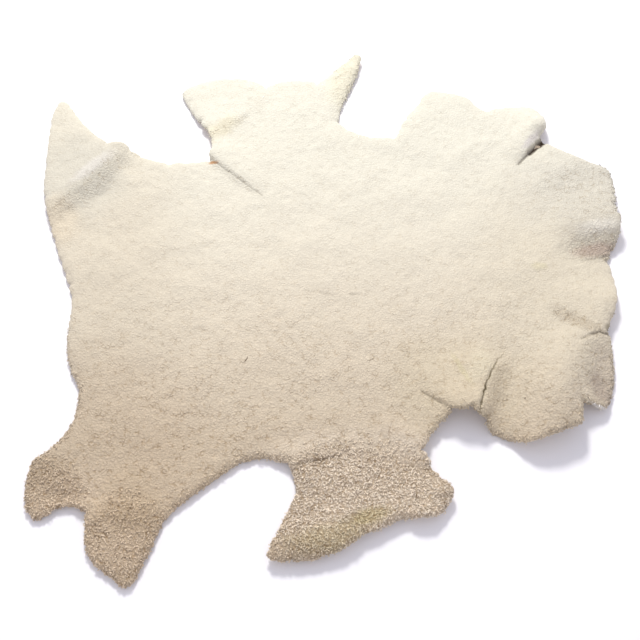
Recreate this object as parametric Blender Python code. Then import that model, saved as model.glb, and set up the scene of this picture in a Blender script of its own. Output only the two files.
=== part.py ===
"""A whole curly sheepskin, lying wool side up with soft folds along its rim.

The hide is one solid: a lumpy slab of skin and wool with locks at its rim.
All sizes are in millimetres; the mesh is turned into metres at the very end.
The wool faces +Z, the skin side rests on z = 0, +Y is the side of the ear.
"""
import math
import random
from collections import namedtuple

import bpy
import numpy as np
from mathutils import Vector, noise
from mathutils.geometry import delaunay_2d_cdt

MM = 0.001

# Driving sizes
HIDE_ACROSS = 1085.0
HIDE_ALONG = 1095.0
SKIN_AND_WOOL = 15.0
LEAST_PILE = 2.5
RIM_HEIGHT = 6.0
RIM_ROUNDING = 13.0
SKIN_INSET = 5.0
CORNER_SOFTNESS = 7.0

# Locks at the rim and lumps in the wool
LOCK_WIDTH = 25.0
LOCK_WIDTH_SPREAD = 5.0
LOCK_DEPTH = 3.5
LOCK_LEVEL = 0.55
POINTS_IN_A_LOCK = 4
LUMP_HEIGHT = 3.0
LUMP_SPAN = 62.0
CLUMP_HEIGHT = 2.2
CLUMP_SPAN = 27.0
TUFT_HEIGHT = 0.6

# Mesh spacing
ARC_STEP = 2.0
WOOL_STEP = 17.0
WOOL_JITTER = 0.16
WOOL_RING_INSET = 5.5
FOLD_STEP = 21.0
FLAT_STEP_EVERY = 3
CREASE_STEP = 11.0
CREASE_SIDE = 6.0
CLEAR_OF_RIM = 13.0
CLEAR_OF_CREASE = 9.0
RING_EVERY = 2
SEED = 41

Rim = namedtuple("Rim", "place x y bow")
Fold = namedtuple("Fold", "name x0 y0 x1 y1 rise0 rise1 left right")

# The rim, clockwise seen from above. Each row is a landmark; the rim runs on from it
# to the next one as an arc that bows outward by "bow" (inward when it is negative).
UPPER_LEFT_SHANK = (
    Rim("tip, left corner", -535, 410, 2),
    Rim("tip", -525, 425, 2),
    Rim("tip, right corner", -507, 417, -6),
    Rim("dip behind the shank", -418, 311, 2),
    Rim("bump", -391, 315, -8),
    Rim("hollow before the flap", -300, 270, -1),
    Rim("foot of the flap", -225, 275, 3),
)
TOP_FLAP = (
    Rim("flap, left edge low", -221, 305, 0),
    Rim("flap, left edge", -230, 336, 3),
    Rim("flap corner", -290, 438, 2),
    Rim("flap corner, top", -283, 455, 13),
    Rim("flap, top right", -163, 483, 3),
    Rim("nick in the top", -121, 463, 13),
    Rim("top, before the ear", -14, 472, 1),
)
EAR_STRIP = (
    Rim("ear, left edge", 48, 537, 2),
    Rim("ear tip", 64, 545, 2),
    Rim("ear tip, right", 74, 535, 4),
    Rim("ear, right edge", 36, 422, -2),
    Rim("ear, inner corner", 27, 366, -14),
)
TOP_RIGHT_LOBE = (
    Rim("crook", 135, 335, 7),
    Rim("lobe, left shoulder", 180, 415, 6),
    Rim("lobe, top", 210, 454, 3),
    Rim("lobe, step", 285, 433, -2),
    Rim("lobe, saddle", 308, 400, 4),
    Rim("lobe, right", 400, 410, 7),
    Rim("lobe, right cheek", 427, 360, 4),
    Rim("pleat, end of its lip", 422, 335, 0),
    Rim("pleat, notch", 414, 326, 0),
    Rim("pleat, shoulder under it", 428, 318, -1),
)
RIGHT_RIM = (
    Rim("neck corner", 520, 266, 3),
    Rim("neck corner, side", 540, 248, 3),
    Rim("upper lobe, low", 538, 174, -5),
    Rim("upper crest", 537, 135, 8),
    Rim("first trough", 512, 58, -1),
    Rim("middle lobe", 511, 40, 6),
    Rim("middle lobe, low", 504, -63, 1),
    Rim("second trough", 487, -94, 1),
    Rim("lower lobe, top", 490, -123, 3),
    Rim("lower lobe, side", 488, -179, 3),
    Rim("lower lobe, low", 476, -228, 3),
    Rim("lower lobe, corner", 458, -252, 3),
    Rim("cleft, right lip", 433, -242, 0),
    Rim("cleft", 424, -246, 0),
)
LOWER_RIGHT_LOBE = (
    Rim("raised lobe, right", 417, -284, 3),
    Rim("raised lobe, bottom", 327, -315, 1),
    Rim("raised lobe, left", 281, -296, 4),
    Rim("below the slit", 257, -276, -2),
    Rim("bay", 228, -260, 3),
    Rim("bay, left", 208, -259, -4),
)
BOTTOM_FLAP = (
    Rim("flap root, right", 158, -318, -7),
    Rim("flap tip, right", 205, -388, 4),
    Rim("flap, low right", 176, -434, 3),
    Rim("flap, ledge", 115, -438, 2),
    Rim("flap, low middle", 61, -463, 7),
    Rim("flap, low left", -35, -507, -1),
    Rim("flap tip, low", -86, -507, 4),
    Rim("flap tip, left", -97, -492, 0),
    Rim("flap, left bulge", -50, -388, 1),
    Rim("flap root, left", -62, -352, 1),
)
LOWER_LEFT_LEG = (
    Rim("belly, start", -72, -342, -1),
    Rim("belly, middle", -104, -334, -4),
    Rim("belly, left", -158, -353, 0),
    Rim("leg, inner knee", -219, -401, -9),
    Rim("leg, shin", -273, -482, 0),
    Rim("toe, right", -298, -540, 4),
    Rim("toe, left", -322, -543, 0),
    Rim("toe, side", -331, -530, 9),
    Rim("outer foot", -382, -476, 0),
    Rim("fork between the feet", -387, -423, -2),
    Rim("small foot, low", -425, -418, 0),
    Rim("small foot, toe", -460, -441, 7),
    Rim("small foot, side", -487, -395, 2),
    Rim("small foot, top", -481, -334, -4),
)
LEFT_FLANK = (
    Rim("flank, low", -438, -295, -6),
    Rim("flank, dimple", -420, -228, -1),
    Rim("flank, dimple top", -422, -204, 0),
    Rim("flank, bulge", -435, -183, 5),
    Rim("flank, middle", -453, -94, -2),
    Rim("flank, above middle", -455, -26, 0),
    Rim("flank, upper", -481, 41, 4),
    Rim("flank, shoulder", -535, 209, 2),
    Rim("flank, top", -541, 385, 1),
)
RIM = (
    UPPER_LEFT_SHANK + TOP_FLAP + EAR_STRIP + TOP_RIGHT_LOBE + RIGHT_RIM
    + LOWER_RIGHT_LOBE + BOTTOM_FLAP + LOWER_LEFT_LEG + LEFT_FLANK
)

# Folds lift skin and wool together. Each row runs from its first end to its second with
# the rise given at both ends, and falls away over "left" and "right" on its two sides.
# Rows of one name are one fold that bends.
FOLDS = (
    Fold("upper right crest", 548, 122, 470, 118, 29, 21, 56, 115),
    Fold("upper right crest", 470, 118, 390, 100, 21, 0, 56, 115),
    Fold("middle right crest", 520, -50, 375, -42, 21, 0, 48, 75),
    Fold("raised lobe", 345, -335, 380, -55, 33, 0, 62, 72),
    Fold("side ridge", 410, -280, 398, -222, 29, 31, 75, 64),
    Fold("side ridge", 398, -222, 411, -178, 31, 29, 75, 66),
    Fold("side ridge", 411, -178, 424, -140, 29, 25, 70, 62),
    Fold("side ridge", 424, -140, 466, -100, 25, 17, 60, 52),
    Fold("lower lobe lip", 485, -262, 438, -238, 9, 7, 26, 26),
    Fold("ridge of the slit", 242, -288, 255, -247, 31, 30, 105, 31),
    Fold("ridge of the slit", 255, -247, 271, -190, 30, 21, 105, 31),
    Fold("ridge of the slit", 271, -190, 302, -132, 21, 3, 90, 31),
    Fold("lip of the bay", 214, -262, 168, -206, 15, 5, 20, 65),
    Fold("flap root ridge", 165, -325, 82, -262, 15, 0, 32, 45),
    Fold("flap fold", -60, -345, 0, -331, 7, 5, 45, 13),
    Fold("flap fold", 0, -331, 60, -308, 5, 0, 45, 13),
    Fold("flap rim", -110, -500, 40, -480, 8, 12, 80, 40),
    Fold("flap rim", 40, -480, 150, -445, 12, 6, 80, 40),
    Fold("flap tip ridge", 200, -382, 150, -440, 13, 10, 26, 34),
    Fold("pleat", 415, 341, 350, 262, 24, 0, 15, 85),
    Fold("notch crease", -228, 284, -105, 182, 12, 0, 65, 14),
    Fold("top flap fold", -236, 325, -150, 392, 12, 0, 80, 18),
    Fold("feet ridge", -432, -430, -300, -424, 5, 4, 24, 40),
    Fold("shank ridge", -392, 318, -435, 243, 13, 14, 44, 80),
    Fold("shank ridge", -435, 243, -477, 194, 14, 13, 56, 80),
    Fold("shank ridge", -477, 194, -532, 148, 13, 7, 66, 60),
    Fold("ear lift", 70, 545, 20, 430, 9, 0, 30, 30),
)

# Partings are troughs in the wool alone; the skin below them stays as it lies.
PARTINGS = (
    Fold("slit", 247, -262, 258, -240, -5, -6, 8, 8),
    Fold("slit", 258, -240, 272, -192, -6, -5, 8, 8),
    Fold("slit", 272, -192, 302, -138, -5, -2, 8, 8),
    Fold("pleat line", 428, 329, 368, 265, -6, -1, 9, 9),
    Fold("bay crease", 202, -256, 156, -214, -4, -2, 10, 10),
    Fold("flap crease", -48, -346, 20, -331, -4, -2, 10, 10),
    Fold("flap tip trough", 160, -400, 130, -430, -3, -2, 16, 16),
    Fold("notch line", -222, 273, -122, 190, -4, -1, 10, 10),
    Fold("feet crease", -430, -398, -290, -402, -4, -2, 20, 20),
    Fold("shank band", -385, 288, -420, 190, -3, -4, 24, 24),
    Fold("shank band", -420, 190, -505, 132, -4, -2, 24, 24),
    Fold("back dent", 102, 285, 195, 244, -3, -3, 40, 40),
)


def arc_points(start, end, bow):
    """Points from start towards end along an arc that bows to the left by bow."""
    span = end - start
    chord = float(np.hypot(span[0], span[1]))
    count = max(2, int(chord / ARC_STEP))
    along = np.arange(count) / count
    outward = np.array((-span[1], span[0])) / chord
    rise = 4.0 * bow * along * (1.0 - along)
    return start + along[:, None] * span + rise[:, None] * outward


def soften(loop, reach):
    """A closed loop of evenly spaced points with its corners rounded over reach."""
    steps = max(1, int(round(reach / ARC_STEP)))
    total = np.zeros_like(loop)
    weight = 0.0
    for shift in range(-steps, steps + 1):
        share = steps + 1 - abs(shift)
        total += share * np.roll(loop, shift, axis=0)
        weight += share
    return total / weight


def lock_widths(length, rng):
    """Widths of the locks around a rim of this length, made to close on themselves."""
    widths = []
    while sum(widths) < length:
        widths.append(rng.uniform(LOCK_WIDTH - LOCK_WIDTH_SPREAD, LOCK_WIDTH + LOCK_WIDTH_SPREAD))
    fit = length / sum(widths)
    return [width * fit for width in widths]


def rim_loop(rng):
    """The rim as a closed loop of points: arcs between landmarks, with locks along them."""
    marks = np.array([(row.x, row.y) for row in RIM], dtype=float)
    pieces = []
    for index, row in enumerate(RIM):
        pieces.append(arc_points(marks[index], marks[(index + 1) % len(RIM)], row.bow))
    loop = soften(np.concatenate(pieces), CORNER_SOFTNESS)
    steps = np.hypot(*(np.roll(loop, -1, axis=0) - loop).T)
    reached = np.concatenate(([0.0], np.cumsum(steps)))
    ahead = np.roll(loop, -3, axis=0) - np.roll(loop, 3, axis=0)
    ahead /= np.hypot(ahead[:, 0], ahead[:, 1])[:, None]
    normal = np.stack((-ahead[:, 1], ahead[:, 0]), axis=1)
    closed = np.vstack((loop, loop[:1]))
    closed_normal = np.vstack((normal, normal[:1]))
    rim = []
    start = 0.0
    for width in lock_widths(reached[-1], rng):
        depth = LOCK_DEPTH * rng.uniform(0.6, 1.2)
        for part in range(POINTS_IN_A_LOCK):
            share = part / POINTS_IN_A_LOCK
            place = start + share * width
            bulge = depth * (math.sin(math.pi * share) ** 0.7 - LOCK_LEVEL)
            here = [np.interp(place, reached, closed[:, axis]) for axis in (0, 1)]
            out = [np.interp(place, reached, closed_normal[:, axis]) for axis in (0, 1)]
            rim.append((here[0] + bulge * out[0], here[1] + bulge * out[1]))
        start += width
    return np.array(rim)


def rim_distance(points, rim):
    """How far each point lies from the rim."""
    ends = np.roll(rim, -1, axis=0)
    nearest = np.full(len(points), np.inf)
    for start, end in zip(rim, ends):
        span = end - start
        share = np.clip(((points - start) @ span) / (span @ span), 0.0, 1.0)
        gap = points - (start + share[:, None] * span)
        nearest = np.minimum(nearest, np.hypot(gap[:, 0], gap[:, 1]))
    return nearest


def inside_rim(points, rim):
    """True for each point that lies within the rim."""
    crossings = np.zeros(len(points), dtype=int)
    ends = np.roll(rim, -1, axis=0)
    for start, end in zip(rim, ends):
        spans = (start[1] > points[:, 1]) != (end[1] > points[:, 1])
        slope = (end[0] - start[0]) / ((end[1] - start[1]) or 1e-9)
        crossings += spans & (points[:, 0] < start[0] + (points[:, 1] - start[1]) * slope)
    return crossings % 2 == 1


def fold_rise(points, rows):
    """Sum of the rises of these folds at each point; rows of one fold don't add up."""
    folds = {}
    for row in rows:
        start = np.array((row.x0, row.y0), dtype=float)
        span = np.array((row.x1 - row.x0, row.y1 - row.y0), dtype=float)
        length = float(np.hypot(span[0], span[1]))
        along = np.clip(((points - start) @ span) / length ** 2, 0.0, 1.0)
        gap = points - (start + along[:, None] * span)
        away = np.hypot(gap[:, 0], gap[:, 1])
        side = (span[0] * gap[:, 1] - span[1] * gap[:, 0]) / (length * np.maximum(away, 1e-6))
        reach = (row.left + row.right) / 2.0 + side * (row.left - row.right) / 2.0
        share = np.clip(away / reach, 0.0, 1.0)
        crest = row.rise0 + (row.rise1 - row.rise0) * along
        rise = crest * (0.5 + 0.5 * np.cos(math.pi * share))
        before = folds.get(row.name, np.zeros(len(points)))
        folds[row.name] = np.where(np.abs(rise) > np.abs(before), rise, before)
    return sum(folds.values())


def lumps(points, rng):
    """Soft lumps of the wool: wide and narrow ones, with a small tuft at each point."""
    height = []
    for x, y in points:
        wide = noise.noise(Vector((x / LUMP_SPAN, y / LUMP_SPAN, 0.4)))
        narrow = noise.noise(Vector((y / CLUMP_SPAN, 7.5, x / CLUMP_SPAN)))
        tuft = rng.uniform(-1.0, 1.0)
        height.append(LUMP_HEIGHT * wide + CLUMP_HEIGHT * narrow + TUFT_HEIGHT * tuft)
    return np.array(height)


def hex_grid(step, rng, jitter):
    """Points spread evenly over the box of the hide, each pushed a little off its place."""
    rows = []
    reach = max(HIDE_ACROSS, HIDE_ALONG) / 2.0 + step
    row_step = step * math.sqrt(3.0) / 2.0
    for j in range(-int(reach / row_step), int(reach / row_step) + 1):
        for i in range(-int(reach / step), int(reach / step) + 1):
            shift = 0.5 * step * (j % 2)
            x = i * step + shift + rng.uniform(-jitter, jitter) * step
            y = j * row_step + rng.uniform(-jitter, jitter) * step
            rows.append((x, y, i % FLAT_STEP_EVERY + j % FLAT_STEP_EVERY))
    return np.array(rows)


def inner_ring(rim, depth):
    """Points inside the rim, a set depth from it, where the hide is wide enough for them."""
    ahead = np.roll(rim, -2, axis=0) - np.roll(rim, 2, axis=0)
    ahead /= np.hypot(ahead[:, 0], ahead[:, 1])[:, None]
    ring = rim - depth * np.stack((-ahead[:, 1], ahead[:, 0]), axis=1)
    ring = ring[1::RING_EVERY]
    keep = inside_rim(ring, rim) & (rim_distance(ring, rim) > 0.7 * depth)
    return ring[keep]


def crease_points(rows):
    """Points along each of these folds and on both of its sides."""
    points = []
    for row in rows:
        span = np.array((row.x1 - row.x0, row.y1 - row.y0), dtype=float)
        length = float(np.hypot(span[0], span[1]))
        side = np.array((-span[1], span[0])) / length
        count = max(2, int(length / CREASE_STEP))
        for index in range(count + 1):
            here = np.array((row.x0, row.y0)) + span * index / count
            for shift in (-CREASE_SIDE, 0.0, CREASE_SIDE):
                points.append(here + side * shift)
    return np.array(points)


def far_from(points, others, reach):
    """The points that are at least reach away from all the others."""
    keep = np.ones(len(points), dtype=bool)
    for other in others:
        gap = points - other
        keep &= np.hypot(gap[:, 0], gap[:, 1]) > reach
    return points[keep]


def spread_apart(points, reach):
    """The points without those that crowd an earlier one."""
    kept = []
    for point in points:
        if all(math.hypot(point[0] - k[0], point[1] - k[1]) > reach for k in kept):
            kept.append(point)
    return np.array(kept)


def triangles_over(rim, inner):
    """Triangles over the hide. No edge inside it runs straight from rim to rim."""
    size = len(rim)
    edges = [(index, (index + 1) % size) for index in range(size)]
    while True:
        points = np.vstack((rim, inner))
        result = delaunay_2d_cdt([tuple(point) for point in points], edges, [], 1, 1e-5)
        _, _, faces, origin, _, _ = result
        if any(len(ids) != 1 for ids in origin):
            raise ValueError("the rim crosses itself")
        triangles = [tuple(origin[corner][0] for corner in face) for face in faces]
        spans = set()
        for face in triangles:
            for a, b in zip(face, face[1:] + face[:1]):
                if a < size and b < size and (a - b) % size not in (1, size - 1):
                    spans.add((min(a, b), max(a, b)))
        if not spans:
            return points, triangles
        middles = [(points[a] + points[b]) / 2.0 for a, b in sorted(spans)]
        inner = np.vstack((inner, middles))


def rounding(distance, reach):
    """Rises from 0 at the rim to 1 at reach, as a quarter circle does."""
    share = np.clip(distance / reach, 0.0, 1.0)
    return np.sqrt(1.0 - (1.0 - share) ** 2)


def within(points, rim, clearance):
    """The points that lie inside the rim and at least this far from it."""
    points = points[inside_rim(points, rim)]
    return points[rim_distance(points, rim) > clearance]


def wool_side(rim, rng):
    """Points and triangles of the top, with the height of each point."""
    creases = within(spread_apart(crease_points(PARTINGS), 0.75 * CREASE_SIDE), rim, 8.0)
    grid = within(hex_grid(WOOL_STEP, rng, WOOL_JITTER)[:, :2], rim, CLEAR_OF_RIM)
    grid = far_from(grid, creases, CLEAR_OF_CREASE)
    ring = inner_ring(rim, WOOL_RING_INSET)
    points, triangles = triangles_over(rim, np.vstack((ring, creases, grid)))
    pile = SKIN_AND_WOOL - RIM_HEIGHT + lumps(points, rng) + fold_rise(points, PARTINGS)
    pile = np.maximum(pile, LEAST_PILE) * rounding(rim_distance(points, rim), RIM_ROUNDING)
    pile[: len(rim)] = 0.0
    height = np.maximum(fold_rise(points, FOLDS), 0.0) + RIM_HEIGHT + pile
    return points, triangles, height


def skin_side(rim, rng):
    """Points and triangles of the underside, close together only where it is folded."""
    grid = hex_grid(FOLD_STEP, rng, 0.1)
    in_fold = fold_rise(grid[:, :2], FOLDS) > 0.6
    grid = within(grid[in_fold | (grid[:, 2] == 0)][:, :2], rim, CLEAR_OF_RIM)
    points, triangles = triangles_over(rim, np.vstack((inner_ring(rim, SKIN_INSET), grid)))
    turn_up = RIM_HEIGHT * (1.0 - rounding(rim_distance(points, rim), 0.9 * SKIN_INSET))
    return points, triangles, np.maximum(fold_rise(points, FOLDS), 0.0) + turn_up


def build_hide():
    """The hide's vertices and faces, in metres. Both sides share the rim's points."""
    rng = random.Random(SEED)
    rim = rim_loop(rng)
    top, top_faces, top_height = wool_side(rim, rng)
    under, under_faces, under_height = skin_side(rim, rng)
    size = len(rim)
    verts = [(x, y, z) for (x, y), z in zip(top, top_height)]
    offset = len(verts) - size
    verts += [(x, y, z) for (x, y), z in zip(under[size:], under_height[size:])]
    faces = [tuple(face) for face in top_faces]
    for face in under_faces:
        faces.append(tuple(c if c < size else c + offset for c in reversed(face)))
    return fit_to_size(np.array(verts)), faces


def fit_to_size(verts):
    """The vertices centred over the origin at the named size, in metres."""
    low = verts.min(axis=0)
    high = verts.max(axis=0)
    middle = (low + high) / 2.0
    scale = np.array((HIDE_ACROSS / (high[0] - low[0]), HIDE_ALONG / (high[1] - low[1]), 1.0))
    return (verts - (middle[0], middle[1], low[2])) * scale * MM


def wool_material():
    """Cream wool, as one plain shader."""
    material = bpy.data.materials.new("cream_wool")
    material.use_nodes = True
    shader = material.node_tree.nodes["Principled BSDF"]
    shader.inputs["Base Color"].default_value = (0.80, 0.72, 0.58, 1.0)
    shader.inputs["Roughness"].default_value = 0.95
    return material


def main():
    for item in list(bpy.data.objects):
        bpy.data.objects.remove(item)
    verts, faces = build_hide()
    mesh = bpy.data.meshes.new("sheepskin")
    mesh.from_pydata([tuple(v) for v in verts], [], faces)
    mesh.materials.append(wool_material())
    mesh.validate()
    mesh.update()
    hide = bpy.data.objects.new("sheepskin", mesh)
    bpy.context.scene.collection.objects.link(hide)


main()
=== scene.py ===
"""A whole curly sheepskin, lying wool side up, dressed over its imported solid.

The fleece is one piece: a finer copy of the solid, smoothed, sunk a little and given the relief of
its mounds and locks. Ringlets of wool, each drawn up from a ring, stand on it as joined meshes where
the wool is coarse and along its rim.
Tables are in millimetres in the solid's drawing frame; everything made is in metres.
"""

import math
from collections import namedtuple

import bmesh
import bpy
import numpy as np
from mathutils import Matrix, Vector, noise
from mathutils.kdtree import KDTree


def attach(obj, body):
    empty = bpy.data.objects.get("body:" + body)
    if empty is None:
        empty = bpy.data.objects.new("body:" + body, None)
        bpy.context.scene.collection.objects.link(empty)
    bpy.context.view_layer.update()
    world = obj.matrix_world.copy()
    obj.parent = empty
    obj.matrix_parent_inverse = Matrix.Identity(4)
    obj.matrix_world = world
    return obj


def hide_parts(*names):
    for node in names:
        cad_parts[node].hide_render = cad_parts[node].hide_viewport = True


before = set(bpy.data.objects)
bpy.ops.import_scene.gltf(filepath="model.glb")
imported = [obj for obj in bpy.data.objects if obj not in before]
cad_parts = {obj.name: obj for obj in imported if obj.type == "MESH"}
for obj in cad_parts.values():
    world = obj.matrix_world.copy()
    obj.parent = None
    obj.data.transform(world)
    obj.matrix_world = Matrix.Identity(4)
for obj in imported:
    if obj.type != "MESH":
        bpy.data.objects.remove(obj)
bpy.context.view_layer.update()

bl_info = {
    "name": "Curly Sheepskin",
    "version": (1, 0, 0),
    "blender": (4, 5, 0),
    "location": "3D View > Sidebar > Sheepskin",
    "description": "Lays a curly sheepskin over its solid and grows its wool",
    "category": "Mesh",
}

NODE = "sheepskin"
MM = 0.001
# Least height of the wool over the floor
REST = 0.2 * MM

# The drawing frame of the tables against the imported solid, which was centred and fitted to size.
DRAWING_SCALE = (1.00142, 0.99616)
DRAWING_SHIFT = (0.33, -0.30)

# A spot of colour, a stain or painted shading, that is narrower than this, in millimetres, has a clean rim.
SHARP_SPOT = 18

# Widths of one curled lock, of one strand in it and of a clump of locks
LOCK_PITCH = 4.2 * MM
STRAND_PITCH = 1.7 * MM
CLUMP_PITCH = 8.0 * MM

# How high the strands stand, how deep the clefts between clumps are and how high the single fibres
# stand, as shares of the lock's own height
WHORL_SHARE = 0.12
CLEFT_SHARE = 0.5
CRIMP_SHARE = 0.6

# Heights of the bumps on wool, skin and floor, in metres
WOOL_RELIEF = 0.9 * MM
SKIN_RELIEF = 0.8 * MM
FLOOR_RELIEF = 0.3 * MM

# Cells of noise in a metre. In the wool: clouds of grease and dust 55 mm wide, the bends of narrow
# lines (9 mm), of locks (8 mm) and of clefts (11 mm), patches that part (10 mm), and crimp (1.2 mm).
CLOUD_SCALE = 18.0
LINE_SCALE = 110.0
LOCK_BEND_SCALE = 130.0
CLEFT_BEND_SCALE = 90.0
PATCH_SCALE = 95.0
CRIMP_SCALE = 800.0
# In the skin: tanning marks 90 mm wide, wrinkles (14 mm) and nap (1.6 mm). On the floor: paint (3 mm).
MARK_SCALE = 11.0
WRINKLE_SCALE = 70.0
NAP_SCALE = 620.0
ROLLER_SCALE = 300.0

# How far the clouds and the bends of narrow lines push a place aside
CLOUD_PUSH = 60.0 * MM
LINE_PUSH = 7.0 * MM

Parting = namedtuple("Parting", "name x0 y0 x1 y1 depth bare")
Patch = namedtuple("Patch", "name x y wide deep turn amount")
ColourSpot = namedtuple("ColourSpot", "name x y wide deep turn colour amount")

# A face of the wool side may overhang until its normal's height is this.
STEEPEST_WOOL = -0.15

# The finest round of cuts leaves the edges that are shorter than this.
LONGEST_EDGE = 5.5 * MM

# Seed of the noise in the mounds and locks. Without one its vectors differ in each run.
RELIEF_SEED = 7

# Lowest place of the fleece's wool side, and of a ringlet's root
BED_FLOOR = 1.2 * MM
ROOT_FLOOR = 2.0 * MM

# Ringlets stand where the wool is coarser than this, and it is full of them this much coarser.
RINGLETS_FROM = 0.5
RINGLETS_BAND = 0.4

# Width of the band along the rim that has ringlets, and how coarse its wool is where it is full
RIM_BAND = 7.0 * MM
RIM_COARSENESS = 0.35

# How many places are tried for the middles of clumps and for ringlets
CLUMP_TRIES = 40000
RINGLET_TRIES = 260000

# A ringlet's loft in the finest wool, what the coarsest adds to it, and the smallest ringlet's size
LOW_LOFT = 0.45
LOFT_GAIN = 0.4
SMALLEST_RINGLET = 0.62

# Width of the slope on both sides of a parting, and the depth at which it is dark, in millimetres
PARTING_SLOPE = 2.0
DARK_DEPTH = 5.0

# Half the floor's width, and where the light and the camera stand, in metres
FLOOR_REACH = 6.0
KEY_PLACE = (-0.35, 2.1, 2.35)
VIEW_PLACE = (-0.013, -1.005, 1.6195)
# The camera looks down, tilted by this many degrees towards the neck side.
VIEW_TILT = 30.0

# Gaps in the wool: how much deeper the wool's bed is there, and how far on both sides no ringlet grows.
PARTINGS = (
    Parting("slit", 244, -276, 250, -256, 1.6, 0.3),
    Parting("slit", 250, -256, 255, -238, 2.2, 0.4),
    Parting("slit", 255, -238, 265, -206, 2.4, 0.4),
    Parting("slit", 265, -206, 276, -184, 2.0, 0.3),
    Parting("slit", 276, -184, 288, -160, 1.4, 0.2),
    Parting("pleat line", 430, 331, 408, 309, 7.0, 4.6),
    Parting("pleat line", 408, 309, 388, 288, 6.0, 3.0),
    Parting("pleat line", 388, 288, 364, 262, 3.0, 1.2),
    Parting("bay crease", 202, -256, 156, -214, 2.0, 0.7),
    Parting("flap crease", -48, -346, 20, -331, 2.0, 0.8),
    Parting("notch line", -222, 273, -122, 190, 1.2, 0.3),
    Parting("foot of the first trough", 430, 50, 462, 44, 0.6, 0.2),
    Parting("foot of the first trough", 462, 44, 490, 51, 1.1, 0.4),
    Parting("foot of the first trough", 490, 51, 515, 60, 1.6, 0.6),
    Parting("notch by the lower lobe", 432, -126, 450, -116, 2.0, 0.4),
    Parting("notch by the lower lobe", 450, -116, 468, -109, 3.0, 0.8),
    Parting("notch by the lower lobe", 468, -109, 492, -112, 3.6, 1.0),
    Parting("ledge on the flap", 30, -428, 66, -446, 1.8, 0.3),
    Parting("flap's tip fold", 138, -396, 146, -432, 2.2, 0.5),
    Parting("back crease", -40, -18, 12, -27, 0.9, 0.1),
    Parting("back crease", 12, -27, 58, -25, 1.1, 0.1),
)

# How coarse the wool gets from the middle of the back to the hind legs, from which line of the tables
# on it gets coarser, and how far from that line it is coarsest
WORN_COARSENESS = 0.5
WORN_FROM = 120.0
WORN_SPAN = 420.0

# Where the wool stands in ringlets, with darker gaps: shade cast by the ringlets and painted shade in the
# material. The amount is from 0 to 1.
COARSE_PATCHES = (
    Patch("bottom flap", 40, -425, 210, 135, 0, 0.95),
    Patch("flap tip", 165, -405, 80, 80, 0, 0.9),
    Patch("small foot and toes", -460, -415, 100, 110, 0, 0.72),
    Patch("long foot", -320, -500, 110, 140, 0, 0.72),
    Patch("ear strip", 50, 470, 50, 110, 0, 0.3),
    Patch("notch crease", -175, 232, 80, 10, -40, 0.3),
    Patch("top flap crease", -190, 358, 66, 12, 38, 0.3),
    Patch("shank band", -440, 215, 125, 26, 48, 0.35),
    Patch("upper right lobe", 500, 190, 120, 90, 0, 0.35),
    Patch("first trough", 490, 74, 60, 34, 8, 0.48),
    Patch("second trough", 430, -84, 70, 20, -36, 0.45),
    Patch("lower lobe", 460, -190, 50, 90, 0, 0.48),
    Patch("slit lips", 286, -215, 30, 80, -16, 0.42),
)


def linear(code):
    """An sRGB hex colour as the linear red, green and blue that Blender's sockets take."""
    shades = [int(code[place:place + 2], 16) / 255.0 for place in (1, 3, 5)]
    return tuple(s / 12.92 if s <= 0.04045 else ((s + 0.055) / 1.055) ** 2.4 for s in shades)
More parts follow.
